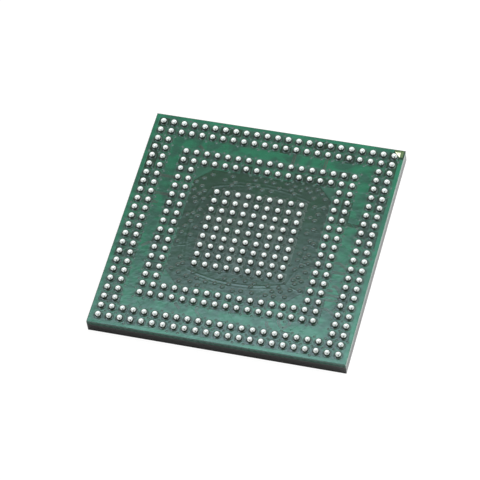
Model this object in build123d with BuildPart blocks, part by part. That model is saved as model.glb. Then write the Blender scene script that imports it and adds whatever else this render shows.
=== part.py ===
from build123d import *

import os
from math import cos, radians, sin, sqrt

# A ball grid array chip that lies on its mould cap with the solder balls up. Sizes are in millimetres.
# Z = 0 is the cap's outer face and +Z leaves the ball side. Ball A1 is at the +X +Y corner.

# Body
edge_margin = 0.70
mould_thickness = 0.70

# Layers of the laminate
mask_thickness = 0.03
copper_thickness = 0.02
core_thickness = 0.28

# Solder balls
ball_pitch = 0.80
ball_rows = 23
ball_diameter = 0.48
ball_seat_depth = 0.14
outer_ring_rows = 2
empty_rows = 1
middle_ring_rows = 2
centre_rows = 9

# Copper under the ball side's mask
pour_width = 1.00
corner_patch_leg = 1.30
corner_patch_gap = 0.35
barrel_gap = 1.15
barrel_bulge = 0.65
barrel_line_width = 0.12

# Gold-plated mark at ball A1
mark_leg = 0.46
mark_side_inset = 0.32
mark_back_inset = 0.18

# Die and its film
die_size = 7.20
die_thickness = 0.25
film_thickness = 0.025
film_margin = 0.05

# Copper and mask windows around the die
die_land_margin = 0.20
paddle_margin = 0.50
finger_gap = 0.45
finger_length = 0.45
finger_width = 0.14
finger_pitch = 0.90
window_clearance = 0.15

# Bond wires
wires_per_side = 9
wire_width = 0.03
wire_pad_pitch = 0.76
wire_pad_inset = 0.10
wire_loop_height = 0.15
wire_flat_run = 0.30
wire_foot_length = 0.06

# Heights of the layers, from the cap's outer face
die_mask_z = mould_thickness
die_copper_z = die_mask_z + mask_thickness
core_z = die_copper_z + copper_thickness
ball_copper_z = core_z + core_thickness
ball_face_z = ball_copper_z + copper_thickness + mask_thickness
film_z = die_mask_z - film_thickness
die_face_z = film_z - die_thickness

# Places along X and Y that several pieces share
last_row = ball_rows - 1
centre_depth = (ball_rows - centre_rows) // 2
grid_reach = last_row / 2 * ball_pitch
body_size = 2 * (grid_reach + edge_margin)
empty_band_reach = grid_reach - (outer_ring_rows + (empty_rows - 1) / 2) * ball_pitch
middle_ring_depth = outer_ring_rows + empty_rows
inner_zone_reach = grid_reach - (middle_ring_depth + middle_ring_rows - 1) * ball_pitch
centre_reach = grid_reach - centre_depth * ball_pitch
barrel_middle = centre_reach + barrel_gap
barrel_corner = barrel_middle - barrel_bulge
die_land_size = die_size + 2 * die_land_margin
paddle_size = die_land_size + 2 * paddle_margin
finger_start = paddle_size / 2 + finger_gap
finger_centre = finger_start + finger_length / 2
window_size = 2 * (finger_start + finger_length + window_clearance)

os.makedirs("parts", exist_ok=True)


def has_ball(row, column):
    """Says whether a place on the grid holds a ball, from how many places it lies in from the edge."""
    depth = min(row, column, last_row - row, last_row - column)
    in_outer_ring = depth < outer_ring_rows
    in_middle_ring = middle_ring_depth <= depth < middle_ring_depth + middle_ring_rows
    return in_outer_ring or in_middle_ring or depth >= centre_depth


def ball_place(row, column):
    """Gives a ball's X and Y. Row A is at the back, and column 1 is at +X."""
    return grid_reach - column * ball_pitch, grid_reach - row * ball_pitch


def row_letters():
    """Lists the row names: the alphabet without letters that look like others, then the same with an A before."""
    letters = [letter for letter in "abcdefghijklmnopqrstuvwxyz" if letter not in "ioqsxz"]
    names = letters + ["a" + letter for letter in letters]
    return names[:ball_rows]


def along_side(index, count, pitch):
    """Gives the offset of one item in a centred row of items."""
    return (index - (count - 1) / 2) * pitch


# Laminate core, sawn to the body's outline
with BuildPart() as laminate_core:
    with BuildSketch(Plane.XY.offset(core_z)):
        Rectangle(body_size, body_size)
    extrude(amount=core_thickness)

# Copper of the ball side: the pour in the empty row, the corner patches and the barrel-shaped line
with BuildPart() as ball_side_copper:
    with BuildSketch(Plane.XY.offset(ball_copper_z)):
        Rectangle(2 * empty_band_reach + pour_width, 2 * empty_band_reach + pour_width)
        Rectangle(
            2 * empty_band_reach - pour_width,
            2 * empty_band_reach - pour_width,
            mode=Mode.SUBTRACT,
        )
        patch_corner = inner_zone_reach - corner_patch_gap
        with BuildLine():
            Polyline(
                (patch_corner, patch_corner),
                (patch_corner - corner_patch_leg, patch_corner),
                (patch_corner, patch_corner - corner_patch_leg),
                close=True,
            )
        corner_patch = make_face(mode=Mode.PRIVATE)
        with PolarLocations(0, 4):
            add(corner_patch)
        with BuildLine():
            for quarter in range(4):
                ThreePointArc(
                    Vector(barrel_corner, barrel_corner).rotate(Axis.Z, 90 * quarter),
                    Vector(0, barrel_middle).rotate(Axis.Z, 90 * quarter),
                    Vector(-barrel_corner, barrel_corner).rotate(Axis.Z, 90 * quarter),
                )
        barrel = make_face(mode=Mode.PRIVATE)
        add(barrel)
        offset(barrel, -barrel_line_width, mode=Mode.SUBTRACT)
    extrude(amount=copper_thickness)

# Gold-plated triangle that marks ball A1, in the corner between the ball and the two edges
with BuildSketch(Plane.XY.offset(ball_copper_z)) as mark_outline:
    mark_x = body_size / 2 - mark_side_inset
    mark_y = body_size / 2 - mark_back_inset
    with BuildLine():
        Polyline(
            (mark_x, mark_y),
            (mark_x - mark_leg, mark_y),
            (mark_x, mark_y - mark_leg),
            close=True,
        )
    make_face()

with BuildPart() as corner_mark:
    add(mark_outline.sketch)
    extrude(amount=copper_thickness)

# Solder mask of the ball side: it covers the copper and is open over the mark
with BuildPart() as ball_side_mask:
    with BuildSketch(Plane.XY.offset(ball_copper_z)):
        Rectangle(body_size, body_size)
    extrude(amount=copper_thickness + mask_thickness)
    add(ball_side_copper.part, mode=Mode.SUBTRACT)
    add(mark_outline.sketch)
    extrude(amount=copper_thickness + mask_thickness, mode=Mode.SUBTRACT)

# Copper paddle under the die, whose rim outside the mask is the ground ring
with BuildPart() as die_paddle:
    with BuildSketch(Plane.XY.offset(die_copper_z)):
        Rectangle(paddle_size, paddle_size)
    extrude(amount=copper_thickness)

# Bond fingers, in a row along each side of the die
with BuildPart() as bond_fingers:
    with BuildSketch(Plane.XY.offset(die_copper_z)):
        with PolarLocations(0, 4):
            with Locations((finger_centre, 0)):
                with GridLocations(0, finger_pitch, 1, wires_per_side):
                    Rectangle(finger_length, finger_width)
    extrude(amount=copper_thickness)

# Solder mask of the die side: a land under the die, and a frame outside the fingers' window
with BuildPart() as die_side_mask:
    with BuildSketch(Plane.XY.offset(die_mask_z)):
        Rectangle(body_size, body_size)
        Rectangle(window_size, window_size, mode=Mode.SUBTRACT)
        Rectangle(die_land_size, die_land_size)
    extrude(amount=mask_thickness + copper_thickness)
    add(die_paddle.part, mode=Mode.SUBTRACT)

# Die attach film
with BuildPart() as die_attach_film:
    with BuildSketch(Plane.XY.offset(film_z)):
        Rectangle(die_size + 2 * film_margin, die_size + 2 * film_margin)
    extrude(amount=film_thickness)

# Silicon die
with BuildPart() as silicon_die:
    with BuildSketch(Plane.XY.offset(die_face_z)):
        Rectangle(die_size, die_size)
    extrude(amount=die_thickness)

# Gold bond wires: each rises from the die's face, runs flat and slopes down to its finger
with BuildPart() as side_wires:
    half_wire = wire_width / 2
    drop = die_copper_z - die_face_z
    for wire in range(wires_per_side):
        pad = Vector(die_size / 2 - wire_pad_inset, along_side(wire, wires_per_side, wire_pad_pitch), die_face_z)
        finger = Vector(finger_centre, along_side(wire, wires_per_side, finger_pitch), die_face_z)
        run = finger - pad
        wire_plane = Plane(origin=pad, x_dir=run, z_dir=run.cross(Vector(0, 0, -1)))
        with BuildSketch(wire_plane):
            with BuildLine():
                Polyline(
                    (-half_wire, 0),
                    (-half_wire, wire_loop_height),
                    (wire_flat_run, wire_loop_height),
                    (run.length + wire_foot_length / 2, -drop),
                    (run.length - wire_foot_length / 2, -drop),
                    (wire_flat_run - half_wire, wire_loop_height - wire_width),
                    (half_wire, wire_loop_height - wire_width),
                    (half_wire, 0),
                    close=True,
                )
            make_face()
        extrude(amount=half_wire, both=True)

with BuildPart() as bond_wires:
    with PolarLocations(0, 4):
        add(side_wires.part)

# Mould cap: it fills the window of the mask and closes round all that stands on the laminate
with BuildPart() as mould_cap:
    with BuildSketch():
        Rectangle(body_size, body_size)
    extrude(amount=mould_thickness)
    with BuildSketch(Plane.XY.offset(die_mask_z)):
        Rectangle(window_size, window_size)
        Rectangle(die_land_size, die_land_size, mode=Mode.SUBTRACT)
    extrude(amount=mask_thickness + copper_thickness)
    for sealed in (die_paddle, bond_fingers, die_attach_film, silicon_die, bond_wires):
        add(sealed.part, mode=Mode.SUBTRACT)

# One solder ball: twenty flat facets on a sphere, cut off flat where it stands on the laminate
ball_radius = ball_diameter / 2
ball_centre_height = ball_radius - ball_seat_depth
facet_ring_radius = 2 * ball_radius / sqrt(5)
facet_ring_rise = ball_radius / sqrt(5)


def facet_ring(height, turn):
    """Gives five corners at one height on the sphere, turned about its upright axis by some degrees."""
    angles = [radians(72 * corner + turn) for corner in range(5)]
    return [Vector(facet_ring_radius * cos(a), facet_ring_radius * sin(a), height) for a in angles]


ball_top = Vector(0, 0, ball_centre_height + ball_radius)
ball_bottom = Vector(0, 0, ball_centre_height - ball_radius)
upper_ring = facet_ring(ball_centre_height + facet_ring_rise, 0)
lower_ring = facet_ring(ball_centre_height - facet_ring_rise, 36)
ball_facets = []
for corner in range(5):
    upper, next_upper = upper_ring[corner], upper_ring[(corner + 1) % 5]
    lower, next_lower = lower_ring[corner], lower_ring[(corner + 1) % 5]
    ball_facets.append((ball_top, upper, next_upper))
    ball_facets.append((upper, lower, next_upper))
    ball_facets.append((next_upper, lower, next_lower))
    ball_facets.append((ball_bottom, next_lower, lower))

with BuildPart() as ball:
    add(Solid(Shell([Face(Wire.make_polygon(facet)) for facet in ball_facets])))
    split(bisect_by=Plane.XY, keep=Keep.TOP)

# Rows of solder balls, each a group of separate balls
ball_row_parts = {}
for row, letter in enumerate(row_letters()):
    places = [ball_place(row, column) for column in range(ball_rows) if has_ball(row, column)]
    with BuildPart() as ball_row:
        with Locations(*[(x, y, ball_face_z) for x, y in places]):
            add(ball.part)
    ball_row_parts[f"balls_row_{letter}"] = ball_row

# Labels and files
pieces = {
    "mould_cap": mould_cap,
    "silicon_die": silicon_die,
    "die_attach_film": die_attach_film,
    "bond_wires": bond_wires,
    "bond_fingers": bond_fingers,
    "die_paddle": die_paddle,
    "die_side_mask": die_side_mask,
    "laminate_core": laminate_core,
    "ball_side_copper": ball_side_copper,
    "ball_side_mask": ball_side_mask,
    "corner_mark": corner_mark,
    **ball_row_parts,
}
for name, piece in pieces.items():
    piece.part.label = name
    export_step(piece.part, f"parts/{name}.step")
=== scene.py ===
"""The looks of a ball grid array chip that lies on its mould cap with the solder balls up.

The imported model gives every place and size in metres. This script turns the faceted balls into round ones,
raises the solder mask over the copper below it, gives each piece its finish, and sets up a small studio.
"""

from __future__ import annotations

import logging
import math
import random
from dataclasses import dataclass
from enum import Enum
from functools import cache
from typing import Any, Iterable, Sequence

import bmesh
import bpy
from mathutils import Matrix, Vector

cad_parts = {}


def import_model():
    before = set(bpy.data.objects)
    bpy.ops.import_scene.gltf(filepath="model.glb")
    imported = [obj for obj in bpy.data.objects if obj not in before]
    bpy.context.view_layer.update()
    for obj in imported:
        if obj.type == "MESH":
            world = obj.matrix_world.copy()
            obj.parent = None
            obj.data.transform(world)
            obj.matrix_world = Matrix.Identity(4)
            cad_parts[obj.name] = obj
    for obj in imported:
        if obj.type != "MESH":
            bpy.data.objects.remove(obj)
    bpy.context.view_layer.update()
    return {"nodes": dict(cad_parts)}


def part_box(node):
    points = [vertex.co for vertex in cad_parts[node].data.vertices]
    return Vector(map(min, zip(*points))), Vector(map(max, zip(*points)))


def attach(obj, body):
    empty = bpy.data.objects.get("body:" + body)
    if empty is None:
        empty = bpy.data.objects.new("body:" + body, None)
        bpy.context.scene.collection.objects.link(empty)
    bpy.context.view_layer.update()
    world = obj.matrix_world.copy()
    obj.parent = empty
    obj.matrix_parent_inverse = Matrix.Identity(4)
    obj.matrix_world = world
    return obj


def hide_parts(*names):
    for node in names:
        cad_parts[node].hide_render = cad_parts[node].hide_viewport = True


LOG = logging.getLogger("bga_chip")
BODY = "root"
MM = 0.001
MICRON = 0.000001

Colour = tuple[float, float, float]
Point = tuple[float, float]
Spot = tuple[float, float, float]


class Slot(Enum):
    """The names of the record's material slots for the solder mask and the solder."""

    MASK = "solder_mask"
    SOLDER = "solder"


class Quarter(Enum):
    """The four sides of the square body, as quarter turns from the back side."""

    BACK = 0
    LEFT = 1
    FRONT = 2
    RIGHT = 3

    def turned(self, x: float, y: float) -> Point:
        """Turns a point that is given for the back side to this side."""
        angle = self.value * math.pi / 2
        return x * math.cos(angle) - y * math.sin(angle), x * math.sin(angle) + y * math.cos(angle)

    def route(self, points: Iterable[Iterable[float]]) -> list[Point]:
        """Turns a row of points that is given for the back side to this side."""
        return [self.turned(*point) for point in points]


class Term:
    """A value socket that adds Math nodes when it is used in a Python expression."""

    def __init__(self, graph: Graph, socket: bpy.types.NodeSocket) -> None:
        """Keeps the graph that new nodes go into and the socket that holds the value."""
        self.graph = graph
        self.socket = socket

    def math(self, operation: str, *others: Any, swapped: bool = False) -> Term:
        """Adds one Math node.

        Args:
            operation: The node's operation.
            others: The second and third values, as numbers or terms.
            swapped: Puts this term second and the first of the others first.

        Returns:
            The node's result as a new term.
        """
        terms = [self, *others]
        if swapped:
            terms[0], terms[1] = terms[1], terms[0]
        node = self.graph.node("ShaderNodeMath", {"operation": operation}, dict(enumerate(terms)))
        return Term(self.graph, node.outputs[0])

    def __add__(self, other: Any) -> Term:
        """Adds a number or a term."""
        return self.math("ADD", other)

    __radd__ = __add__

    def __sub__(self, other: Any) -> Term:
        """Takes a number or a term away."""
        return self.math("SUBTRACT", other)

    def __rsub__(self, other: Any) -> Term:
        """Takes this term away from a number."""
        return self.math("SUBTRACT", other, swapped=True)

    def __mul__(self, other: Any) -> Term:
        """Multiplies by a number or a term."""
        return self.math("MULTIPLY", other)

    __rmul__ = __mul__

    def __truediv__(self, other: Any) -> Term:
        """Divides by a number or a term."""
        return self.math("DIVIDE", other)

    def __gt__(self, other: Any) -> Term:
        """Gives 1 where this term is larger."""
        return self.math("GREATER_THAN", other)

    def __lt__(self, other: Any) -> Term:
        """Gives 1 where this term is smaller."""
        return self.math("LESS_THAN", other)

    def __abs__(self) -> Term:
        """Gives the size without its sign."""
        return self.math("ABSOLUTE")

    def largest(self, other: Any) -> Term:
        """Gives the larger of two values."""
        return self.math("MAXIMUM", other)

    def wave(self, length: float) -> Term:
        """Gives a sine wave from -1 to 1 that repeats after a length in metres."""
        return (self * (2 * math.pi / length)).math("SINE")

    def ramp(self, low: float, high: float) -> Term:
        """Rises smoothly from 0 at the low value to 1 at the high value."""
        settings = {"interpolation_type": "SMOOTHSTEP"}
        sockets = {"Value": self, "From Min": low, "From Max": high}
        return Term(self.graph, self.graph.node("ShaderNodeMapRange", settings, sockets).outputs[0])


class Graph:
    """A node tree that is built by one method."""

    def __init__(self, tree: bpy.types.NodeTree) -> None:
        """Keeps the tree that nodes go into."""
        self.tree = tree

    def node(
        self,
        kind: str,
        settings: dict[str, Any] | None = None,
        sockets: dict[str | int, Any] | None = None,
    ) -> bpy.types.Node:
        """Adds one node.

        Args:
            kind: The node's type name.
            settings: The node's own settings, which are set first.
            sockets: Values, terms, sockets or nodes for its inputs, by name or number.

        Returns:
            The new node.
        """
        node = self.tree.nodes.new(kind)
        for name, value in (settings or {}).items():
            setattr(node, name, value)
        for key, value in (sockets or {}).items():
            self.feed(self.find(node.inputs, key), value)
        return node

    def find(self, sockets: Any, key: str | int) -> bpy.types.NodeSocket:
        """Finds a socket in use, by its number or its name."""
        if isinstance(key, int):
            return sockets[key]
        return next(socket for socket in sockets if socket.name == key and socket.enabled)

    def feed(self, socket: bpy.types.NodeSocket, value: Any) -> None:
        """Links or sets one input socket."""
        if isinstance(value, Term):
            value = value.socket
        if isinstance(value, bpy.types.Node):
            value = next(output for output in value.outputs if output.enabled)
        if isinstance(value, bpy.types.NodeSocket):
            self.tree.links.new(value, socket)
        else:
            socket.default_value = value

    def term(self, node: bpy.types.Node, output: str | int = 0) -> Term:
        """Wraps one output of a node as a term."""
        return Term(self, self.find(node.outputs, output))


class ShaderGraph(Graph):
    """The nodes of one material, with the patterns that several finishes use."""

    def __init__(self, name: str) -> None:
        """Starts an empty material whose patterns read Object coordinates."""
        self.material = bpy.data.materials.new(name)
        self.material.use_nodes = True
        super().__init__(self.material.node_tree)
        self.tree.nodes.clear()
        self.place = self.node("ShaderNodeTexCoord").outputs["Object"]
        parts = self.node("ShaderNodeSeparateXYZ", None, {"Vector": self.place})
        self.x, self.y, self.z = (self.term(parts, axis) for axis in "XYZ")

    def noise(self, size: float, detail: float = 2.0, stretch: Colour = (1.0, 1.0, 1.0)) -> Term:
        """Adds a cloudy pattern.

        Args:
            size: The length of one cloud in metres.
            detail: How many finer layers it has.
            stretch: How many times longer it is along each axis.

        Returns:
            A term from 0 to 1.
        """
        scale = tuple(1 / length for length in stretch)
        place = self.node("ShaderNodeMapping", None, {"Vector": self.place, "Scale": scale})
        sockets = {"Vector": place, "Scale": 1 / size, "Detail": detail}
        return self.term(self.node("ShaderNodeTexNoise", None, sockets))

    def specks(self, size: float, share: float) -> Term:
        """Gives 1 in specks, by their mean distance and their radius as a share of it, and 0 between."""
        cells = self.node("ShaderNodeTexVoronoi", None, {"Vector": self.place, "Scale": 1 / size})
        return 1 - self.term(cells, "Distance").ramp(share * 0.6, share)

    def blend(self, share: Any, first: Any, second: Any) -> bpy.types.NodeSocket:
        """Mixes two colours by the share of the second one."""
        sockets = {0: share, 6: self.rgba(first), 7: self.rgba(second)}
        return self.node("ShaderNodeMix", {"data_type": "RGBA"}, sockets).outputs[2]

    def rgba(self, colour: Any) -> Any:
        """Adds full opacity to a plain colour."""
        return (*colour, 1.0) if isinstance(colour, tuple) else colour

    def surface(
        self,
        colour: bpy.types.NodeSocket,
        roughness: Term,
        height: Term,
        depth: float,
        metallic: float = 0.0,
        specular: float = 0.5,
    ) -> bpy.types.Material:
        """Ends the material.

        Args:
            colour: The base colour.
            roughness: The roughness.
            height: The relief that is too fine for the mesh.
            depth: The relief's height in metres where the term is 1.
            metallic: 1 for a metal.
            specular: How strongly anything else mirrors.

        Returns:
            The finished material.
        """
        relief = {"Height": height, "Distance": depth, "Strength": 1.0}
        sockets = {
            "Base Color": colour,
            "Metallic": metallic,
            "Roughness": roughness,
            "Specular IOR Level": specular,
            "Normal": self.node("ShaderNodeBump", None, relief),
        }
        shader = self.node("ShaderNodeBsdfPrincipled", None, sockets)
        self.node("ShaderNodeOutputMaterial", None, {"Surface": shader})
        return self.material


@dataclass(frozen=True)
class Finish:
    """A finish, whose material is made once and shared by all that has it."""

    name: str

    @cache
    def material(self) -> bpy.types.Material:
        """Gives the finish's material."""
        return self.build(ShaderGraph(self.name))

    def build(self, graph: ShaderGraph) -> bpy.types.Material:
        """Builds the material from an empty graph."""
        raise NotImplementedError


@dataclass(frozen=True)
class SolderMask(Finish):
    """Green solder mask: a smooth, slightly wavy resin skin whose green depends on what lies below it."""

    bright: Colour
    deep: Colour
    patch: float = 1.4 * MM
    edges: Point = (0.32, 0.68)
    roughness: float = 0.06
    dust: Colour = (0.32, 0.36, 0.34)
    weave: Point = (0.48 * MM, 0.5136 * MM)
    waviness: float = 4.4 * MICRON

    def build(self, graph: ShaderGraph) -> bpy.types.Material:
        """Builds the finish, with cloudy patches, fine dust and the faint print of the glass cloth."""
        patches = graph.noise(self.patch, 3.0).ramp(*self.edges)
        fine = graph.noise(0.07 * MM)
        cloth = graph.x.wave(self.weave[0]) * graph.y.wave(self.weave[1])
        colour = graph.blend(patches, self.bright, self.deep)
        colour = graph.blend((fine - 0.35) * 0.5, colour, self.deep)
        colour = graph.blend(graph.specks(0.33 * MM, 0.05) * 0.35, colour, self.dust)
        streaks = graph.noise(0.2 * MM, 1.0, (2.4, 1.0, 1.0))
        height = graph.noise(0.55 * MM, 3.0) + streaks * 0.22 + cloth * 0.02 + fine * 0.09
        return graph.surface(colour, self.roughness + patches * 0.03 + fine * 0.03, height, self.waviness)


class Cover(Enum):
    """The greens of the solder mask, named by what lies below it or what it covers. The dull greens over the
    pads and on the via domes are darkened in part as painted shade.
    """

    LAMINATE = SolderMask("mask_over_laminate", (0.0095, 0.0400, 0.0200), (0.0068, 0.0265, 0.0135))
    COPPER = SolderMask("mask_over_copper", (0.011, 0.113, 0.058), (0.0095, 0.062, 0.036), MM, (0.40, 0.62))
    GROUND = SolderMask("mask_over_ground", (0.023, 0.114, 0.066), (0.019, 0.068, 0.045))
    RIM = SolderMask("mask_over_rim", (0.0130, 0.134, 0.072), (0.0095, 0.084, 0.047))
    PATCHES = SolderMask("mask_over_patches", (0.019, 0.090, 0.054), (0.014, 0.064, 0.038))
    # Partly painted shade and painted reflection: this dull grey-brown round and between the balls stands in
    # partly for their shadows and mirrored images.
    PADS_WITH_PAINTED_SHADE = SolderMask("mask_over_pads_painted_shade", (0.052, 0.082, 0.064), (0.034, 0.058, 0.045))
    CHANNELS = SolderMask("mask_over_channels", (0.050, 0.060, 0.049), (0.034, 0.042, 0.034))
    # Partly painted shade: the via domes are darkened to stand in for the shaded front of each dome.
    VIAS_PAINTED_DARK = SolderMask("mask_over_vias_painted_shade", (0.010, 0.034, 0.021), (0.008, 0.028, 0.018), roughness=0.16)
    # Partly painted shade: the outer via domes are darkened to stand in for the shaded front of each dome.
    TAILS = SolderMask("mask_over_outer_vias_painted_shade", (0.026, 0.068, 0.046), (0.019, 0.048, 0.034), roughness=0.14)
    GOLD = SolderMask("mask_over_gold", (0.105, 0.165, 0.070), (0.070, 0.120, 0.045))


@dataclass(frozen=True)
class Solder(Finish):
    """Bright tin alloy as it sets after reflow, a little different on each ball, with painted shade that
    darkens each ball towards its foot.
    """

    pitch: float
    clean: Colour = (0.66, 0.70, 0.68)
    frosted: Colour = (0.59, 0.63, 0.61)
    # Painted shade: the dark colour each ball fades to near its foot, standing in for its mirrored board and
    # contact shadow.
    foot: Colour = (0.17, 0.18, 0.17)
    foot_shade_heights: Point = (1.16 * MM, 1.35 * MM)
    roughness: float = 0.05
    grain_depth: float = 0.9 * MICRON

    def build(self, graph: ShaderGraph) -> bpy.types.Material:
        """Builds the finish, with a grainy skin, a random tone for each place on the grid and painted shade
        towards each ball's foot.
        """
        scale = (1 / self.pitch, 1 / self.pitch, 0.0)
        sockets = {"Vector": graph.place, "Scale": scale, "Location": (0.5, 0.5, 0.5)}
        cell = graph.node("ShaderNodeMapping", None, sockets)
        whole = graph.node("ShaderNodeVectorMath", {"operation": "FLOOR"}, {0: cell})
        chance = graph.term(graph.node("ShaderNodeTexWhiteNoise", None, {"Vector": whole}), "Value")
        grain = graph.noise(0.045 * MM, 3.0)
        skin = graph.noise(0.16 * MM).ramp(0.45, 0.75)
        colour = graph.blend(skin * 0.6 + chance * 0.25, self.clean, self.frosted)
        # Painted shade and painted reflection: each ball darkens below the given heights, in place of the
        # dark board it mirrors and the shadow under it.
        colour = graph.blend(1 - graph.z.ramp(*self.foot_shade_heights), colour, self.foot)
        roughness = self.roughness + chance * 0.05 + grain * 0.08
        return graph.surface(colour, roughness, grain, self.grain_depth, metallic=1.0)


@dataclass(frozen=True)
class MouldCompound(Finish):
    """Black epoxy full of round silica filler, matt where it was moulded and fine-lined where it was sawn."""

    resin: Colour = (0.013, 0.013, 0.0125)
    filler: Colour = (0.05, 0.05, 0.047)
    cloud: Colour = (0.018, 0.0175, 0.017)
    roughness: float = 0.24
    specular: float = 0.25
    line_depth: float = 2.2 * MICRON

    def build(self, graph: ShaderGraph) -> bpy.types.Material:
        """Builds the finish, with filler specks and saw lines along the sides."""
        coarse = graph.specks(0.09 * MM, 0.22)
        small = graph.specks(0.035 * MM, 0.3)
        lines = graph.noise(0.035 * MM, stretch=(14.0, 14.0, 1.0))
        colour = graph.blend(coarse * 0.4 + small * 0.25, self.resin, self.filler)
        colour = graph.blend(graph.noise(1.1 * MM) * 0.35, colour, self.cloud)
        height = lines * 0.7 + graph.noise(0.05 * MM, 3.0) * 0.6
        roughness = self.roughness + lines * 0.1 - coarse * 0.1
        return graph.surface(colour, roughness, height, self.line_depth, specular=self.specular)


@dataclass(frozen=True)
class SawnLaminate(Finish):
    """The sawn edge of a glass cloth laminate: bundles of glass seen end-on in teal-grey resin."""

    resin: Colour = (0.020, 0.073, 0.053)
    glass: Colour = (0.050, 0.131, 0.099)
    # The colour that the laminate darkens to towards its bottom, between the two levels below.
    bottom_darkening: Colour = (0.014, 0.034, 0.027)
    levels: Point = (0.72 * MM, 1.00 * MM)
    bundle: float = 0.46 * MM
    ply: float = 0.14 * MM
    drift: float = 0.35 * MM
    roughness: float = 0.14
    specular: float = 0.12
    line_depth: float = 1.8 * MICRON

    def build(self, graph: ShaderGraph) -> bpy.types.Material:
        """Builds the finish, with lens-shaped bundles in two plies and lines that the saw left."""
        along = graph.x + graph.y + graph.noise(0.9 * MM, 1.0) * self.drift
        bundles = abs(along.wave(2 * self.bundle)) - abs(graph.z.wave(2 * self.ply)) * 0.7
        glass = bundles.ramp(0.05, 0.6)
        lines = graph.noise(0.03 * MM, stretch=(16.0, 16.0, 1.0))
        colour = graph.blend(glass * 0.7 + lines * 0.25, self.resin, self.glass)
        # Darker towards the bottom of the laminate.
        colour = graph.blend((1 - graph.z.ramp(*self.levels)) * 0.8, colour, self.bottom_darkening)
        roughness = self.roughness + lines * 0.1 - glass * 0.03
        return graph.surface(colour, roughness, lines + glass * 0.3, self.line_depth, specular=self.specular)


@dataclass(frozen=True)
class PlainMetal(Finish):
    """Rolled or plated metal with a fine grain, such as the gold of the mark or the copper below the mask."""

    bright: Colour
    dull: Colour
    roughness: float
    grain_depth: float = 0.5 * MICRON

    def build(self, graph: ShaderGraph) -> bpy.types.Material:
        """Builds the finish, with a soft tarnish and fine pits."""
        grain = graph.noise(0.02 * MM)
        colour = graph.blend(graph.noise(0.2 * MM).ramp(0.35, 0.75), self.bright, self.dull)
        return graph.surface(colour, self.roughness + grain * 0.15, grain, self.grain_depth, metallic=1.0)


@dataclass(frozen=True)
class SealedLayer(Finish):
    """A smooth sealed layer inside the cap, such as the die or its film."""

    bright: Colour
    dull: Colour
    roughness: float
    grain_depth: float = 0.3 * MICRON

    def build(self, graph: ShaderGraph) -> bpy.types.Material:
        """Builds the finish, with faint cloudiness."""
        grain = graph.noise(0.05 * MM, 1.0)
        colour = graph.blend(graph.noise(0.8 * MM, 3.0), self.bright, self.dull)
        return graph.surface(colour, self.roughness + grain * 0.1, grain, self.grain_depth)


class GeometryTree(Graph):
    """A Geometry Nodes tree with named inputs, whose result becomes a plain mesh."""

    crease: float = math.radians(40)

    def __init__(self, name: str, inputs: dict[str, str]) -> None:
        """Starts the tree.

        Args:
            name: The tree's name.
            inputs: The socket type of each named input other than the geometry and the finish.
        """
        super().__init__(bpy.data.node_groups.new(name, "GeometryNodeTree"))
        for label, kind in {"Geometry": "Geometry", **inputs, "Finish": "Material"}.items():
            self.socket(label, kind, "INPUT")
        self.socket("Geometry", "Geometry", "OUTPUT")
        self.given = self.node("NodeGroupInput")

    def socket(self, label: str, kind: str, side: str) -> None:
        """Adds one socket to the tree's own inputs or outputs."""
        self.tree.interface.new_socket(label, in_out=side, socket_type="NodeSocket" + kind)

    def value(self, label: str) -> Term:
        """Gives one of the tree's inputs as a term."""
        return self.term(self.given, label)

    def chance(self, low: Any, high: float, seed: Term) -> Term:
        """Gives each point a random value between two others."""
        sockets = {"Min": low, "Max": high, "Seed": seed}
        return self.term(self.node("FunctionNodeRandomValue", {"data_type": "FLOAT"}, sockets), "Value")

    def copies(self, points: bpy.types.Node, turn: Any, size: Any = (1.0, 1.0, 1.0)) -> bpy.types.Node:
        """Sets the given form on points, each copy with its turn about the upright axis and its size."""
        form = self.node("GeometryNodeObjectInfo", None, {"Object": self.value("Form")})
        sockets = {
            "Points": points,
            "Instance": self.term(form, "Geometry"),
            "Rotation": self.node("ShaderNodeCombineXYZ", None, {"Z": turn}),
            "Scale": size,
        }
        return self.node("GeometryNodeInstanceOnPoints", None, sockets)

    def lifted(self, geometry: bpy.types.Node, height: Term) -> bpy.types.Node:
        """Moves geometry up by a height."""
        shift = self.node("ShaderNodeCombineXYZ", None, {"Z": height})
        return self.node("GeometryNodeTransform", None, {"Geometry": geometry, "Translation": shift})

    def end(self, geometry: bpy.types.Node, smooth: bool = True) -> None:
        """Ends the tree: instances become real, and the faces get their shading and the tree's finish."""
        real = self.node("GeometryNodeRealizeInstances", None, {"Geometry": geometry})
        shaded = self.node("GeometryNodeSetShadeSmooth", None, {"Geometry": real, "Shade Smooth": smooth})
        if smooth:
            corner = self.term(self.node("GeometryNodeInputMeshEdgeAngle"), "Unsigned Angle") > self.crease
            sockets = {"Geometry": shaded, "Selection": corner, "Shade Smooth": False}
            shaded = self.node("GeometryNodeSetShadeSmooth", {"domain": "EDGE"}, sockets)
        sockets = {"Geometry": shaded, "Material": self.value("Finish")}
        dressed = self.node("GeometryNodeSetMaterial", None, sockets)
        self.node("NodeGroupOutput", None, {"Geometry": dressed})

    def bake(self, source: bpy.types.Object, name: str, values: dict[str, Any]) -> bpy.types.Object:
        """Runs the tree on an object and keeps only the plain result.

        Args:
            source: The object that the tree starts from, which is used up.
            name: The name of the new piece.
            values: The tree's inputs by name.

        Returns:
            The new piece, at the origin.
        """
        modifier = source.modifiers.new(name, "NODES")
        modifier.node_group = self.tree
        for item in self.tree.interface.items_tree:
            if item.in_out == "INPUT" and item.name in values:
                modifier[item.identifier] = values[item.name]
        bpy.context.view_layer.update()
        evaluated = source.evaluated_get(bpy.context.evaluated_depsgraph_get())
        mesh = bpy.data.meshes.new_from_object(evaluated)
        bpy.data.objects.remove(source)
        return linked(name, mesh)


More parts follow.
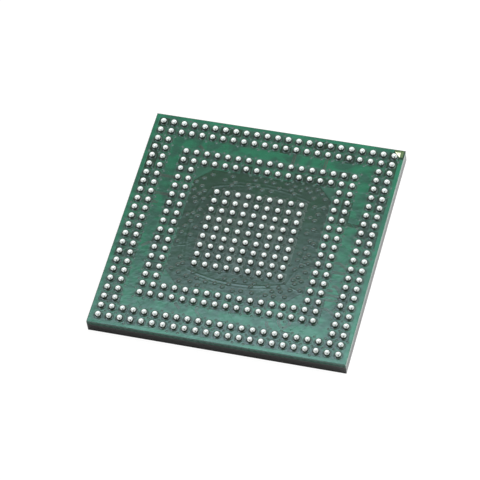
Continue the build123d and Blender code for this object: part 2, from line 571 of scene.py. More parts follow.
def linked(name: str, data: bpy.types.ID) -> bpy.types.Object:
    """Puts data such as a mesh into the scene as an object at the origin."""
    thing = bpy.data.objects.new(name, data)
    bpy.context.scene.collection.objects.link(thing)
    return thing


def meshed(name: str, form: bmesh.types.BMesh) -> bpy.types.Object:
    """Turns a form into an object and uses it up."""
    mesh = bpy.data.meshes.new(name)
    form.to_mesh(mesh)
    form.free()
    return linked(name, mesh)


def ring_of(reach: float, height: float, segments: int, is_square: bool = False) -> list[Spot]:
    """Lists the points of one level ring about the upright axis.

    Args:
        reach: Its radius, or half its side if it is square.
        height: Its height.
        segments: How many points it has.
        is_square: Whether it is square.

    Returns:
        The points, counterclockwise.
    """
    points: list[Spot] = []
    for step in range(segments):
        x, y = math.cos(math.tau * step / segments), math.sin(math.tau * step / segments)
        scale = reach / max(abs(x), abs(y)) if is_square else reach
        points.append((x * scale, y * scale, height))
    return points


def ringed_form(name: str, rings: Sequence[Sequence[Spot]]) -> bpy.types.Object:
    """Joins rings into a closed form.

    Args:
        name: The object's name.
        rings: The points of each ring in turn. A last ring of one point closes the form there,
            and otherwise the last ring is joined to the first.

    Returns:
        The new object.
    """
    form = bmesh.new()
    levels = [[form.verts.new(point) for point in ring] for ring in rings]
    ends_in_point = len(levels[-1]) == 1
    segments = len(levels[0])
    pairs = list(zip(levels, levels[1:]))
    if not ends_in_point:
        pairs.append((levels[-1], levels[0]))
    for lower, upper in pairs:
        for step in range(segments):
            after = (step + 1) % segments
            around = [lower[step], lower[after], upper[after % len(upper)], upper[step % len(upper)]]
            form.faces.new(list(dict.fromkeys(around)))
    if ends_in_point:
        form.faces.new(levels[0])
    bmesh.ops.recalc_face_normals(form, faces=form.faces)
    return meshed(name, form)


def turned_form(name: str, profile: Sequence[Point], segments: int) -> bpy.types.Object:
    """Turns a profile of radii and heights into a closed form, which a last radius of 0 ends in a point."""
    rings = [ring_of(radius, height, segments if radius else 1) for radius, height in profile]
    return ringed_form(name, rings)


def square(reach: float) -> list[Point]:
    """Lists the corners of a square round the middle, counterclockwise from the back right one."""
    return [(reach, reach), (-reach, reach), (-reach, -reach), (reach, -reach)]


def grown(outline: Sequence[Point], distance: float) -> list[Point]:
    """Moves every side of an outline outwards.

    Args:
        outline: Its corners, counterclockwise.
        distance: How far the sides move, negative for inwards.

    Returns:
        The new corners.
    """
    corners = [Vector(point) for point in outline]
    moved: list[Point] = []
    for index, corner in enumerate(corners):
        into = (corner - corners[index - 1]).normalized()
        away = (corners[(index + 1) % len(corners)] - corner).normalized()
        normal = Vector((into.y + away.y, -into.x - away.x)).normalized()
        reach = distance / max(0.2, normal.dot(Vector((into.y, -into.x))))
        moved.append(tuple(corner + normal * reach))
    return moved


def blunted(outline: Sequence[Point], size: float) -> list[Point]:
    """Cuts each corner of an outline off at a distance from it, with one new corner in the cut.

    Args:
        outline: Its corners, counterclockwise.
        size: The distance.

    Returns:
        The new corners.
    """
    corners = [Vector(point) for point in outline]
    points: list[Point] = []
    for index, corner in enumerate(corners):
        back = (corners[index - 1] - corner).normalized()
        ahead = (corners[(index + 1) % len(corners)] - corner).normalized()
        middle = corner + (back + ahead) * size * 0.3
        points += [tuple(corner + back * size), tuple(middle), tuple(corner + ahead * size)]
    return points


@dataclass(frozen=True)
class BallGrid:
    """The places of the solder balls."""

    rows: list[str]
    pitch: float
    face: float
    stand_off: float
    centre_reach: int = 4
    middle_ring: tuple[int, int] = (7, 8)
    outer_ring: tuple[int, int] = (10, 11)
    seed: int = 7

    @classmethod
    def read(cls, nodes: Iterable[str]) -> BallGrid:
        """Reads the rows' names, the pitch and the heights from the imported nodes."""
        rows = [name for name in nodes if name.startswith("balls_row_")]
        boxes = [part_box(name) for name in rows]
        middles = [(low.y + high.y) / 2 for low, high in boxes]
        pitch = (max(middles) - min(middles)) / (len(rows) - 1)
        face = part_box("ball_side_mask")[1].z
        return cls(rows, pitch, face, max(high.z for _, high in boxes) - face)

    def holds(self, ring: float) -> bool:
        """Says whether a square ring, counted from the centre, holds balls."""
        in_middle = self.middle_ring[0] <= ring <= self.middle_ring[1]
        in_outer = self.outer_ring[0] <= ring <= self.outer_ring[1]
        return ring <= self.centre_reach or in_middle or in_outer

    def places(self) -> list[tuple[int, int]]:
        """Lists the balls' places in whole pitches from the centre."""
        reach = self.outer_ring[1]
        span = range(-reach, reach + 1)
        return [(i, j) for j in span for i in span if self.holds(max(abs(i), abs(j)))]

    def tree(self) -> GeometryTree:
        """Builds the tree that sets one form on every place of the grid."""
        inputs = {"Pitch": "Float", "Rows": "Int", "Height": "Float", "Form": "Object"}
        tree = GeometryTree("ball_grid", {**inputs, "Least Size": "Float", "Seed": "Int"})
        pitch, rows, seed = tree.value("Pitch"), tree.value("Rows"), tree.value("Seed")
        span = (rows - 1) * pitch
        sockets = {"Size X": span, "Size Y": span, "Vertices X": rows, "Vertices Y": rows}
        grid = tree.node("GeometryNodeMeshGrid", None, sockets)
        place = tree.node("ShaderNodeSeparateXYZ", None, {0: tree.node("GeometryNodeInputPosition")})
        ring = abs(tree.term(place, "X")).largest(abs(tree.term(place, "Y"))) / pitch
        inner_gap = (ring > self.centre_reach + 0.5) * (ring < self.middle_ring[0] - 0.5)
        outer_gap = (ring > self.middle_ring[1] + 0.5) * (ring < self.outer_ring[0] - 0.5)
        bare = inner_gap + outer_gap
        kept = tree.node("GeometryNodeDeleteGeometry", {"domain": "POINT"}, {0: grid, 1: bare})
        size = tree.chance(tree.value("Least Size"), 1.0, seed)
        turn = tree.chance(0.0, math.tau, seed + 1)
        tree.end(tree.lifted(tree.copies(kept, turn, size), tree.value("Height")))
        return tree

    def spread(
        self,
        name: str,
        form: bpy.types.Object,
        finish: Finish,
        least_size: float = 1.0,
    ) -> bpy.types.Object:
        """Sets one form on every place of the grid.

        Args:
            name: The piece's name.
            form: The form to repeat, which is used up.
            finish: The piece's finish.
            least_size: The smallest size of a form, where 1 is full size.

        Returns:
            The piece.
        """
        carrier = linked(name + "_carrier", bpy.data.meshes.new(name + "_carrier"))
        values = {
            "Pitch": self.pitch,
            "Rows": len(self.rows),
            "Height": self.face,
            "Form": form,
            "Least Size": least_size,
            "Seed": self.seed,
            "Finish": finish.material(),
        }
        piece = self.tree().bake(carrier, name, values)
        bpy.data.objects.remove(form)
        return piece


@dataclass
class SolderBalls:
    """The reflowed balls: spheres that are cut off flat where they wet their pads."""

    grid: BallGrid
    diameter: float = 0.49 * MM
    segments: int = 12
    rings: int = 6
    least_size: float = 0.985

    def profile(self) -> list[Point]:
        """Gives one ball's profile from its foot to its top, with its foot at height 0."""
        radius = self.diameter / 2
        centre = self.grid.stand_off - radius
        lowest = math.asin(-centre / radius)
        points: list[Point] = []
        for ring in range(self.rings):
            angle = lowest + (math.pi / 2 - lowest) * ring / self.rings
            points.append((radius * math.cos(angle), centre + radius * math.sin(angle)))
        return points + [(0.0, centre + radius)]

    def build(self) -> bpy.types.Object:
        """Builds the balls in place of the faceted rows."""
        form = turned_form("ball_form", self.profile(), self.segments)
        finish = Solder("solder_finish", self.grid.pitch)
        balls = self.grid.spread("solder_balls", form, finish, self.least_size)
        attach(balls, BODY)
        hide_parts(*self.grid.rows)
        return balls


@dataclass
class MaskRelief:
    """What stands up in the solder mask over the copper below it: pads, covered vias, tracks and pours."""

    grid: BallGrid
    body_half: float
    mark: tuple[Point, Point]
    rise: float = 12 * MICRON
    sink: float = 3 * MICRON
    slope: float = 40 * MICRON
    step: float = 3 * MICRON
    pad_inner: float = 0.222 * MM
    pad_outer: float = 0.300 * MM
    moat: float = 0.325 * MM
    ground_share: float = 0.78
    centre_share: float = 0.6
    via_radius: float = 0.13 * MM
    lone_via_radius: float = 0.20 * MM
    via_rise: float = 30 * MICRON
    lone_via_rise: float = 52 * MICRON
    track_width: float = 0.10 * MM
    turned_tails: float = 0.2
    via_rows: tuple[float, ...] = (5.05, 5.55, 6.05)
    via_shift: float = 0.125
    via_clearance: float = 0.2
    skips: tuple[float, ...] = (0.3, 0.25, 0.1, 0.1)
    channel: float = 0.26 * MM
    channels: tuple[int, ...] = (3, 4, 5, 7)
    channel_start: float = 0.35
    channel_reach: float = 1.3
    channel_knee: float = 0.4
    fine_skip: float = 0.45
    fans: tuple[int, ...] = (0, 1, 0, 5)
    fan_reach: float = 5.6
    overlap: float = 0.03 * MM
    rim_inset: float = 0.012 * MM
    mark_clearance: float = 0.03 * MM
    mark_border: Point = (0.22 * MM, 0.13 * MM)
    patch_gap: float = 0.35 * MM
    patch_leg: float = 1.30 * MM
    blunt: float = 0.07 * MM
    barrel_middle: float = 4.35 * MM
    barrel_corner: float = 3.70 * MM
    line_gap: float = 0.26 * MM
    seed: int = 23

    def pads(self) -> bpy.types.Object:
        """Builds the raised rim round each ball, where the mask climbs over the pad."""
        profile = [
            (self.pad_inner, -self.sink),
            (self.pad_outer, -self.sink),
            (self.pad_outer - self.slope, self.rise * 0.8),
            (self.pad_outer - 1.8 * self.slope, self.rise),
            (self.pad_inner + 0.3 * self.slope, self.rise),
        ]
        return self.grid.spread("mask_pad_rims", turned_form("pad_form", profile, 14), Cover.PADS_WITH_PAINTED_SHADE.value)

    def via_form(self, outer: float, rise: float) -> bpy.types.Object:
        """Builds one covered via, a low round dome of a given radius and height."""
        radius = (outer**2 + rise**2) / (2 * rise)
        profile = [(outer, -self.sink)]
        for step in range(4):
            reach = outer * (1 - step / 4)
            profile.append((reach, math.sqrt(radius**2 - reach**2) - radius + rise))
        profile.append((0.0, rise))
        return turned_form("via_form", profile, 12)

    def ground_form(self) -> bpy.types.Object:
        """Builds one square of the copper pour between the balls, with a round opening for the pad."""
        half = self.grid.pitch / 2
        foot = ring_of(self.moat, -self.sink, 16)
        crest = ring_of(self.moat + self.slope, self.rise, 16)
        outside = ring_of(half, self.rise, 16, is_square=True)
        below = ring_of(half, -self.sink, 16, is_square=True)
        return ringed_form("ground_form", [foot, crest, outside, below])

    def ground(self, chance: random.Random, is_centre: bool, share: float) -> list[Spot]:
        """Chooses the balls that stand in a square of copper.

        Args:
            chance: The source of the random choices.
            is_centre: Whether they are the balls of the centre block or of the two rings.
            share: How many of them are chosen.

        Returns:
            X, Y and the turn of each square.
        """
        found: list[Spot] = []
        last = self.grid.outer_ring[1]
        for i, j in self.grid.places():
            is_wanted = (max(abs(i), abs(j)) <= self.grid.centre_reach) == is_centre
            is_near_mark = i == last and j == last
            if is_wanted and not is_near_mark and chance.random() < share:
                found.append((i * self.grid.pitch, j * self.grid.pitch, 0.0))
        return found

    def tail_form(self) -> bpy.types.Object:
        """Builds the short track that joins a pad to its via, along +X and without the via."""
        start = self.pad_outer - self.slope
        end = self.grid.pitch / math.sqrt(2) - self.via_radius * 0.7
        half = self.track_width / 2
        outline = [(start, -half), (end, -half), (end, half), (start, half)]
        return self.plate("tail_form", [outline], self.rise + self.step, self.slope * 0.6, 0.0)

    def plate(
        self,
        name: str,
        outlines: Iterable[Sequence[Point]],
        rise: float,
        slope: float,
        blunt: float,
    ) -> bpy.types.Object:
        """Builds flat raised plates with sloping sides.

        Args:
            name: The object's name.
            outlines: The foot of each plate, counterclockwise.
            rise: How high the plates stand.
            slope: How far the side slopes in.
            blunt: How much is cut off each corner.

        Returns:
            The new object, with its feet at height 0.
        """
        form = bmesh.new()
        for outline in outlines:
            foot = blunted(outline, blunt) if blunt else list(outline)
            middle, crest = grown(foot, -slope * 0.7), grown(foot, -slope)
            levels = [(foot, -self.sink), (middle, rise * 0.75), (crest, rise)]
            rings = [[form.verts.new((x, y, z)) for x, y in ring] for ring, z in levels]
            for lower, upper in zip(rings, rings[1:]):
                for index in range(len(lower)):
                    after = (index + 1) % len(lower)
                    side = form.faces.new((lower[index], lower[after], upper[after], upper[index]))
                    side.smooth = True
            form.faces.new(rings[-1])
            form.faces.new(list(reversed(rings[0])))
        bmesh.ops.recalc_face_normals(form, faces=form.faces)
        return meshed(name, form)

    def scatter(
        self,
        name: str,
        points: Sequence[Spot],
        form: bpy.types.Object,
        cover: Cover,
        smooth: bool = True,
    ) -> bpy.types.Object:
        """Sets one form on a list of points, each turned by its own angle.

        Args:
            name: The piece's name.
            points: X, Y and the turn of each copy.
            form: The form to repeat, which is used up.
            cover: The piece's green.
            smooth: Whether its faces are shaded as one smooth skin.

        Returns:
            The piece.
        """
        mesh = bpy.data.meshes.new(name + "_points")
        mesh.from_pydata([(x, y, self.grid.face) for x, y, _ in points], [], [])
        turns = mesh.attributes.new("turn", "FLOAT", "POINT")
        turns.data.foreach_set("value", [turn for _, _, turn in points])
        tree = GeometryTree(name, {"Form": "Object"})
        turn = tree.node("GeometryNodeInputNamedAttribute", {"data_type": "FLOAT"}, {"Name": "turn"})
        tree.end(tree.copies(tree.given, turn), smooth)
        values = {"Form": form, "Finish": cover.value.material()}
        piece = tree.bake(linked(name + "_points", mesh), name, values)
        bpy.data.objects.remove(form)
        return piece

    def tails(self, chance: random.Random) -> list[Spot]:
        """Chooses the diagonal on which each ball's track leaves, so that no two tracks meet at one via.

        Args:
            chance: The source of the random choices.

        Returns:
            X, Y and the turn of each track.
        """
        found: list[Spot] = []
        used: set[Point] = set()
        for i, j in self.grid.places():
            ring = max(abs(i), abs(j))
            way = -1 if ring >= self.grid.outer_ring[0] or ring == self.grid.middle_ring[0] else 1
            if chance.random() < self.turned_tails:
                way = -way
            sign_x = way * (1 if i >= 0 else -1)
            sign_y = way * (1 if j >= 0 else -1)
            options = [(sign_x, sign_y), (-sign_x, sign_y), (sign_x, -sign_y), (-sign_x, -sign_y)]
            for step_x, step_y in options:
                cell = (i + step_x / 2, j + step_y / 2)
                if cell not in used:
                    used.add(cell)
                    turn = math.atan2(step_y, step_x)
                    found.append((i * self.grid.pitch, j * self.grid.pitch, turn))
                    break
        return found

    def parted(self, spots: Sequence[Spot]) -> list[list[Spot]]:
        """Parts the spots in the bare zone and the centre block, which have no pour, from the others."""
        reach = (self.grid.middle_ring[0] - 0.6) * self.grid.pitch
        inside = [max(abs(x), abs(y)) < reach for x, y, _ in spots]
        return [[spot for spot, is_in in zip(spots, inside) if is_in == part] for part in (True, False)]

    def lone_vias(self, chance: random.Random) -> list[Spot]:
        """Chooses the covered vias of the bare zone round the centre block, in staggered rows.

        Args:
            chance: The source of the random choices.

        Returns:
            X, Y and the turn of each via.
        """
        pitch = self.grid.pitch
        patch = (2 * self.patch_gap + self.patch_leg) / pitch
        reach = 2 * self.grid.middle_ring[0] - patch - self.via_clearance
        shift = self.via_shift
        found: list[Spot] = []
        for quarter in Quarter:
            for row, depth in enumerate(self.via_rows):
                for step in range(-int(depth), int(depth) + 1):
                    if chance.random() < self.skips[quarter.value]:
                        continue
                    along = step + 0.5 * (row % 2) + chance.choice((-shift, 0.0, shift))
                    away = depth + chance.choice((-shift, 0.0, 0.0, shift))
                    if abs(along) < min(away, reach - away):
                        found.append((*quarter.turned(along * pitch, away * pitch), 0.0))
        return found

    def pour_ring(self, chance: random.Random) -> list[Point]:
        """Outlines the pour in the empty row, which stays open at one channel."""
        inner = (self.grid.middle_ring[1] + 0.5) * self.grid.pitch - self.overlap
        outer = (self.grid.outer_ring[0] - 0.5) * self.grid.pitch + self.overlap
        start = chance.uniform(0.2, 0.4) * inner
        end = start + self.channel
        outside = [(outer, end), *square(outer), (outer, start)]
        return [*outside, (inner, start), *reversed(square(inner)), (inner, end)]

    def rim_ring(self) -> list[Point]:
        """Outlines the pour along the edge, which stays open at the corner with the mark."""
        inner = (self.grid.outer_ring[1] + 0.5) * self.grid.pitch - self.overlap
        outer = self.body_half - self.rim_inset
        end = min(self.mark[0]) - self.mark_clearance
        outside = [(end, outer), *square(outer)[1:], (outer, end)]
        return [*outside, (inner, end), *square(inner)[:0:-1], (end, inner)]

    def border(self) -> list[Point]:
        """Outlines the strip of mask over the mark's two edges, where the gold shows through as olive."""
        (left, front), (right, back) = self.mark
        side, top = self.mark_border
        outside = [(right + side, front), (right + side, back + top), (left, back + top)]
        return [(right, front), *outside, (left, back), (right, back)]

    def crossings(self, chance: random.Random) -> list[list[Point]]:
        """Lays out the channels that cross the empty row, straight or bent, some of them only in part."""
        pitch = self.grid.pitch
        inner = (self.grid.middle_ring[1] + self.channel_start) * pitch
        span = self.channel_reach * pitch
        routes: list[list[Point]] = []
        for quarter, count in zip(Quarter, self.channels):
            for place in chance.sample(range(-15, 16), count):
                along = place / 2 * pitch
                reach = chance.choice((0.45, 0.7, 1.0, 1.0))
                bend = chance.choice((-0.5, 0.0, 0.0, 0.5)) * pitch
                start = inner + chance.choice((0.0, 1 - reach)) * span
                knee = start + self.channel_knee * reach * span
                route = [(along, start), (along, knee), (along + bend, start + reach * span)]
                routes.append(quarter.route(route))
        return routes

    def fine_tracks(self, chance: random.Random) -> list[list[Point]]:
        """Lays out the fine tracks that run through the pour and between the pads."""
        pitch = self.grid.pitch
        routes: list[list[Point]] = []
        for quarter in Quarter:
            for step in range(-8, 9):
                if chance.random() < self.fine_skip:
                    continue
                along = (step + chance.choice((0.0, 0.25, 0.5))) * pitch
                bend = chance.choice((-1, 1)) * pitch
                first = (self.grid.middle_ring[1] + chance.choice((0.5, 0.6))) * pitch
                last = (self.grid.outer_ring[0] - chance.choice((0.45, 0.7))) * pitch
                knee = first + (last - first) * chance.uniform(0.1, 0.4)
                route = [(along, first), (along, knee), (along + bend * (last - knee) / pitch, last)]
                routes.append(quarter.route(route))
        return routes

    def corner_patches(self) -> list[list[Point]]:
        """Lays out the triangle of copper in each corner of the bare zone round the centre block."""
        corner = self.grid.middle_ring[0] * self.grid.pitch - self.patch_gap
        end = corner - self.patch_leg
        patch = [(corner, corner), (end, corner), (corner, end)]
        return [quarter.route(patch) for quarter in Quarter]

    def barrel_tracks(self, offset: float, reach: float) -> list[list[Point]]:
        """Lays out a bulging line on each side of the centre block.

        Args:
            offset: How far outside the main line it runs.
            reach: Its length as a share of the main line's.

        Returns:
            The points of the four lines.
        """
        bulge = self.barrel_middle - self.barrel_corner
        radius = (self.barrel_corner**2 + bulge**2) / (2 * bulge)
        steps = [self.barrel_corner * reach * (step / 8 - 1) for step in range(17)]
        rise = self.barrel_middle + offset - radius
        arc = [(x, rise + math.sqrt(radius**2 - x**2)) for x in steps]
        return [quarter.route(arc) for quarter in Quarter]

    def fan_tracks(self, chance: random.Random) -> list[list[Point]]:
        """Lays out the short curved tracks that run outwards from the vias of the bare zone."""
        pitch = self.grid.pitch
        tracks: list[list[Point]] = []
        for quarter, count in zip(Quarter, self.fans):
            for track in range(count):
                spread = 2 * self.fan_reach * (track + chance.uniform(0.2, 0.8)) / count
                along = (self.fan_reach - spread) * pitch
                near = (self.grid.centre_reach + chance.uniform(0.7, 1.4)) * pitch
                far = (self.grid.middle_ring[0] - chance.uniform(0.5, 1.0)) * pitch
                start = Vector((along, near))
                end = Vector((along * 1.1 + chance.uniform(-0.3, 0.3) * pitch, far))
                knee = Vector((along + chance.uniform(-0.5, 0.5) * pitch, (near + far) / 2))
                shares = [step / 8 for step in range(9)]
                spots = [start.lerp(knee, share).lerp(knee.lerp(end, share), share) for share in shares]
                tracks.append(quarter.route(spots))
        return tracks

    def raised_tracks(
        self,
        name: str,
        routes: Iterable[Sequence[Point]],
        width: float,
        rise: float,
        cover: Cover,
        slope: float = 0.3,
    ) -> bpy.types.Object:
        """Builds tracks with sloping sides along their routes.

        Args:
            name: The piece's name.
            routes: The points of each track's middle line.
            width: The width of a track's foot.
            rise: How high it stands.
            cover: The piece's green.
            slope: The part of the width that each sloping side takes.

        Returns:
            The piece.
        """
        curve = bpy.data.curves.new(name + "_routes", "CURVE")
        curve.dimensions = "3D"
        for route in routes:
            spline = curve.splines.new("POLY")
            spline.points.add(len(route) - 1)
            for point, (x, y) in zip(spline.points, route):
                point.co = (x, y, self.grid.face, 1.0)
        tree = GeometryTree(name, dict.fromkeys(("Foot", "Crest", "Rise", "Sink"), "Float"))
        upright = tree.node("GeometryNodeSetCurveNormal", {"mode": "Z_UP"}, {"Curve": tree.given})
        sockets = {
            "Bottom Width": tree.value("Crest"),
            "Top Width": tree.value("Foot"),
            "Offset": 0.0,
            "Height": tree.value("Rise") + tree.value("Sink"),
        }
        section = tree.node("GeometryNodeCurvePrimitiveQuadrilateral", {"mode": "TRAPEZOID"}, sockets)
        sockets = {"Curve": upright, "Profile Curve": section, "Fill Caps": True}
        track = tree.node("GeometryNodeCurveToMesh", None, sockets)
        tree.end(tree.lifted(track, (tree.value("Rise") - tree.value("Sink")) / 2), smooth=False)
        values = {
            "Foot": width,
            "Crest": width * (1 - 2 * slope),
            "Rise": rise,
            "Sink": rise * 0.2,
            "Finish": cover.value.material(),
        }
        return tree.bake(linked(name + "_routes", curve), name, values)

    def poured(
        self,
        name: str,
        plates: Iterable[Sequence[Point]],
        cover: Cover,
        slope: float,
        blunt: float,
    ) -> bpy.types.Object:
        """Builds raised plates of mask over poured copper or gold.

        Args:
            name: The piece's name.
            plates: The foot of each plate, counterclockwise.
            cover: The piece's green.
            slope: How far the side slopes in.
            blunt: How much is cut off each corner.

        Returns:
            The piece.
        """
        piece = self.plate(name, plates, self.rise - 0.3 * self.step, slope, blunt)
        piece.data.transform(Matrix.Translation((0.0, 0.0, self.grid.face)))
        piece.data.materials.append(cover.value.material())
        return piece

    def build(self) -> list[bpy.types.Object]:
        """Builds all that stands up in the mask and dresses it."""
        chance = random.Random(self.seed)
        tails = self.tails(chance)
        reach = self.grid.pitch / math.sqrt(2)
        vias = [(x + reach * math.cos(turn), y + reach * math.sin(turn), 0.0) for x, y, turn in tails]
        (inner, outer), (inner_vias, outer_vias) = self.parted(tails), self.parted(vias)
        width, rise, step = self.track_width, self.rise, self.step
        pour, rim, patches = [self.pour_ring(chance)], [self.rim_ring()], self.corner_patches()
        main_line, outer_lines = self.barrel_tracks(0.0, 1.0), self.barrel_tracks(self.line_gap, 0.8)
        lone, ground = self.lone_vias(chance), self.ground(chance, False, self.ground_share)
        centre_ground = self.ground(chance, True, self.centre_share)
        crossings, fine, fans = self.crossings(chance), self.fine_tracks(chance), self.fan_tracks(chance)
        tall, low, wide = self.lone_via_rise, self.via_rise, self.lone_via_radius
        sides, line = (self.slope, self.blunt), (Cover.LAMINATE, 0.45)
        pieces = [
            self.pads(),
            self.scatter("mask_ground", ground, self.ground_form(), Cover.GROUND, smooth=False),
            self.scatter("mask_centre_ground", centre_ground, self.ground_form(), Cover.PADS_WITH_PAINTED_SHADE, smooth=False),
            self.scatter("mask_inner_tails", inner, self.tail_form(), Cover.PADS_WITH_PAINTED_SHADE),
            self.scatter("mask_inner_vias", inner_vias, self.via_form(self.via_radius, tall), Cover.VIAS_PAINTED_DARK),
            self.scatter("mask_outer_tails", outer, self.tail_form(), Cover.COPPER),
            self.scatter("mask_outer_vias", outer_vias, self.via_form(self.via_radius, low), Cover.TAILS),
            self.scatter("mask_lone_vias", lone, self.via_form(wide, tall), Cover.VIAS_PAINTED_DARK),
            self.poured("mask_pour", pour, Cover.COPPER, *sides),
            self.poured("mask_rim", rim, Cover.RIM, *sides),
            self.poured("mask_patches", patches, Cover.PATCHES, *sides),
            self.raised_tracks("mask_channels", crossings, self.channel, rise + step, Cover.CHANNELS, 0.12),
            self.raised_tracks("mask_channel_tracks", crossings, width, rise + 3 * step, Cover.COPPER),
            self.raised_tracks("mask_fine_tracks", fine, width, rise + 2 * step, Cover.COPPER),
            self.raised_tracks("mask_fan_tracks", fans, width * 2.2, rise * 0.12, *line),
            self.raised_tracks("mask_barrel_line", main_line, width * 2.8, rise * 0.11, *line),
            self.raised_tracks("mask_outer_lines", outer_lines, width * 2.4, rise * 0.06, *line),
            self.poured("mask_mark_border", [self.border()], Cover.GOLD, self.slope * 0.25, 0.0),
        ]
        for piece in pieces:
            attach(piece, BODY)
        return pieces


@dataclass
class Body:
    """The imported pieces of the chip's body, which keep their shape and get their finish here."""

    nodes: dict[str, bpy.types.Object]

    def finishes(self) -> dict[str, Finish]:
        """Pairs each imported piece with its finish."""
        copper = PlainMetal("copper_finish", (0.72, 0.43, 0.27), (0.50, 0.27, 0.17), 0.35)
        gold = PlainMetal("gold_finish", (0.76, 0.70, 0.46), (0.68, 0.61, 0.38), 0.34)
        mask = Cover.LAMINATE.value
        return {
            "ball_side_mask": mask,
            "die_side_mask": mask,
            "mould_cap": MouldCompound("mould_finish"),
            "laminate_core": SawnLaminate("laminate_finish"),
            "corner_mark": gold,
            "bond_wires": gold,
            "ball_side_copper": copper,
            "bond_fingers": gold,
            "die_paddle": copper,
            "silicon_die": SealedLayer("silicon_finish", (0.22, 0.23, 0.26), (0.15, 0.16, 0.19), 0.15),
            "die_attach_film": SealedLayer("film_finish", (0.75, 0.74, 0.68), (0.66, 0.64, 0.57), 0.5),
        }

    def dress(self) -> None:
        """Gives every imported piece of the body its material."""
        for name, finish in self.finishes().items():
            for slot in self.nodes[name].material_slots:
                slot.material = finish.material()
            LOG.info("%s: %s", name, finish.name)


@dataclass(frozen=True)
class Tent:
    """A white tent that has a dark opening at the camera and glows behind.

    Each pair of numbers is where a part starts to change and where it ends, in degrees, or as cosines in
    behind and side_band. The glows and the dip have one pair for the lower side and one for the upper.
    """

    azimuth: float
    fill: float = 0.31
    white: float = 0.95
    glow: Colour = (4.3, 6.0, 6.8)
    low_sides: Point = (30, 60)
    low_top: Point = (2, 12)
    low_depth: float = 0.7
    camera_sides: Point = (9, 22)
    camera_top: Point = (48, 60)
    opening_depth: float = 0.96
    behind: Point = (0.2, 0.8)
    low_glow: tuple[Point, Point] = ((4, 12), (34, 44))
    dip: tuple[Point, Point] = ((36, 44), (54, 62))
    dip_depth: float = 0.45
    high_glow: tuple[Point, Point] = ((53.2, 58.4), (68, 80))
    side_band: Point = (-0.02, 0.10)
    side_depth: float = 0.4

    def above(self, height: Term, low: float, high: float) -> Term:
        """Rises from 0 to 1 between two elevations in degrees."""
        return height.ramp(math.sin(math.radians(low)), math.sin(math.radians(high)))

    def facing(self, cosine: Term, inner: float, outer: float) -> Term:
        """Falls from 1 to 0 between two angles in degrees, given the angle's cosine."""
        return cosine.ramp(math.cos(math.radians(outer)), math.cos(math.radians(inner)))

    def band(self, height: Term, rising: Point, falling: Point) -> Term:
        """Gives 1 in a band of elevations, with a soft lower and upper side."""
        return self.above(height, *rising) * (1 - self.above(height, *falling))

    def build(self) -> None:
        """Surrounds the chip with the tent."""
        world = bpy.data.worlds.new("tent")
        world.use_nodes = True
        bpy.context.scene.world = world
        graph = Graph(world.node_tree)
        graph.tree.nodes.clear()
        path = graph.node("ShaderNodeLightPath")
        place = graph.node("ShaderNodeTexCoord").outputs["Generated"]
        parts = graph.node("ShaderNodeSeparateXYZ", None, {"Vector": place})
        x, y, z = (graph.term(parts, axis) for axis in "XYZ")
        turn = math.radians(self.azimuth)
        level = (1 - z * z).largest(0.0001).math("SQRT")
        front = (x * math.sin(turn) - y * math.cos(turn)) / level
        side = (x * math.cos(turn) + y * math.sin(turn)) / level
        low_opening = self.facing(front, *self.low_sides) * (1 - self.above(z, *self.low_top))
        camera_opening = self.facing(front, *self.camera_sides) * (1 - self.above(z, *self.camera_top))
        behind = (0 - front).ramp(*self.behind)
        opening = (low_opening * self.low_depth).largest(camera_opening)
        tent = self.white * (1 - opening * self.opening_depth)
        tent = tent + behind * (self.band(z, *self.low_glow) - self.band(z, *self.dip) * self.dip_depth)
        beside = 1 - side.ramp(*self.side_band) * self.side_depth
        high_glow = behind * self.band(z, *self.high_glow) * beside
        seen, shiny = graph.term(path, "Is Camera Ray"), graph.term(path, "Is Glossy Ray")
        light = seen + (1 - seen) * (shiny * tent + (1 - shiny) * self.fill)
        channels = zip(("Red", "Green", "Blue"), self.glow)
        sockets = {channel: light + shiny * high_glow * glow for channel, glow in channels}
        colour = graph.node("ShaderNodeCombineColor", None, sockets)
        sky = graph.node("ShaderNodeBackground", None, {"Color": colour, "Strength": 1.0})
        graph.node("ShaderNodeOutputWorld", None, {"Surface": sky})


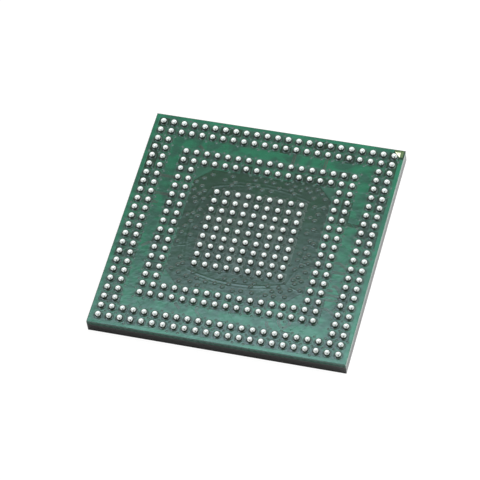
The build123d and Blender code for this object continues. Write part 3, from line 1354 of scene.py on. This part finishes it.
@dataclass
class Studio:
    """A white table under two soft lamps in a tent, seen by the photograph's camera."""

    position: Spot = (0.044932, -0.113744, 0.171318)
    azimuth: float = 21.86
    elevation: float = 54.38
    roll: float = 8.85
    focal_pixels: float = 2902.5
    frame_pixels: float = 480.0
    sensor_width: float = 36.0
    nearest: float = 0.01
    floor_size: float = 1.2
    floor_grey: float = 0.9
    floor_white: float = 1.06
    floor_share: float = 0.9
    key_place: Spot = (0.06, 0.10, 0.20)
    key_size: Point = (0.34, 0.24)
    key_radiance: float = 2.5
    side_place: Spot = (0.16, 0.05, 0.06)
    side_size: Point = (0.14, 0.08)
    side_radiance: float = 15.5

    def camera(self) -> None:
        """Sets up the camera of the photograph."""
        turn, down, roll = (math.radians(angle) for angle in (self.azimuth, self.elevation, self.roll))
        ahead = Vector((-math.sin(turn) * math.cos(down), math.cos(turn) * math.cos(down), -math.sin(down)))
        level = Vector((math.cos(turn), math.sin(turn), 0.0))
        upright = level.cross(ahead)
        right = level * math.cos(roll) - upright * math.sin(roll)
        up = level * math.sin(roll) + upright * math.cos(roll)
        data = bpy.data.cameras.new("photo_camera")
        data.sensor_width = self.sensor_width
        data.lens = self.focal_pixels / self.frame_pixels * data.sensor_width
        data.clip_start = self.nearest
        camera = linked("photo_camera", data)
        axes = Matrix((right, up, -ahead)).transposed().to_4x4()
        camera.matrix_world = Matrix.Translation(self.position) @ axes
        bpy.context.scene.camera = camera

    def lamp(self, name: str, place: Spot, size: Point, radiance: float) -> None:
        """Hangs one soft rectangular lamp that faces the chip.

        Args:
            name: The lamp's name.
            place: Its middle.
            size: Its width and height.
            radiance: How bright its surface looks, where 1 is white.
        """
        data = bpy.data.lights.new(name, "AREA")
        data.shape = "RECTANGLE"
        data.size, data.size_y = size
        data.energy = radiance * math.pi * size[0] * size[1]
        lamp = linked(name, data)
        lamp.rotation_euler = (-Vector(place)).to_track_quat("-Z", "Y").to_euler()
        lamp.location = place
        lamp.visible_glossy = False

    def floor(self) -> None:
        """Lays the white table top, which the camera sees as nearly plain white."""
        form = bmesh.new()
        bmesh.ops.create_grid(form, x_segments=1, y_segments=1, size=self.floor_size / 2)
        floor = meshed("floor", form)
        graph = ShaderGraph("floor_finish")
        graph.tree.nodes.clear()
        seen = graph.node("ShaderNodeLightPath").outputs["Is Camera Ray"]
        cloth = graph.node("ShaderNodeBsdfDiffuse", None, {"Color": graph.rgba((self.floor_grey,) * 3)})
        sockets = {"Color": (1.0, 1.0, 1.0, 1.0), "Strength": self.floor_white}
        white = graph.node("ShaderNodeEmission", None, sockets)
        share = Term(graph, seen) * self.floor_share
        mixed = graph.node("ShaderNodeMixShader", None, {0: share, 1: cloth, 2: white})
        graph.node("ShaderNodeOutputMaterial", None, {"Surface": mixed})
        floor.data.materials.append(graph.material)

    def build(self) -> None:
        """Sets up the table, the lamps, the tent and the camera."""
        self.camera()
        self.floor()
        Tent(self.azimuth).build()
        self.lamp("key_softbox", self.key_place, self.key_size, self.key_radiance)
        self.lamp("side_softbox", self.side_place, self.side_size, self.side_radiance)
        bpy.context.scene.view_settings.view_transform = "Standard"


def main() -> None:
    """Builds the chip's looks in order and reports each piece."""
    logging.basicConfig(level=logging.INFO, format="%(message)s")
    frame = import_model()
    Body(frame["nodes"]).dress()
    grid = BallGrid.read(sorted(frame["nodes"]))
    pieces = [SolderBalls(grid).build()]
    low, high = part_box("corner_mark")
    mark = ((low.x, low.y), (high.x, high.y))
    pieces += MaskRelief(grid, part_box("ball_side_mask")[1].x, mark).build()
    for piece in pieces:
        LOG.info("%s: %d faces", piece.name, len(piece.data.polygons))
    Studio().build()


if __name__ == "__main__":
    main()
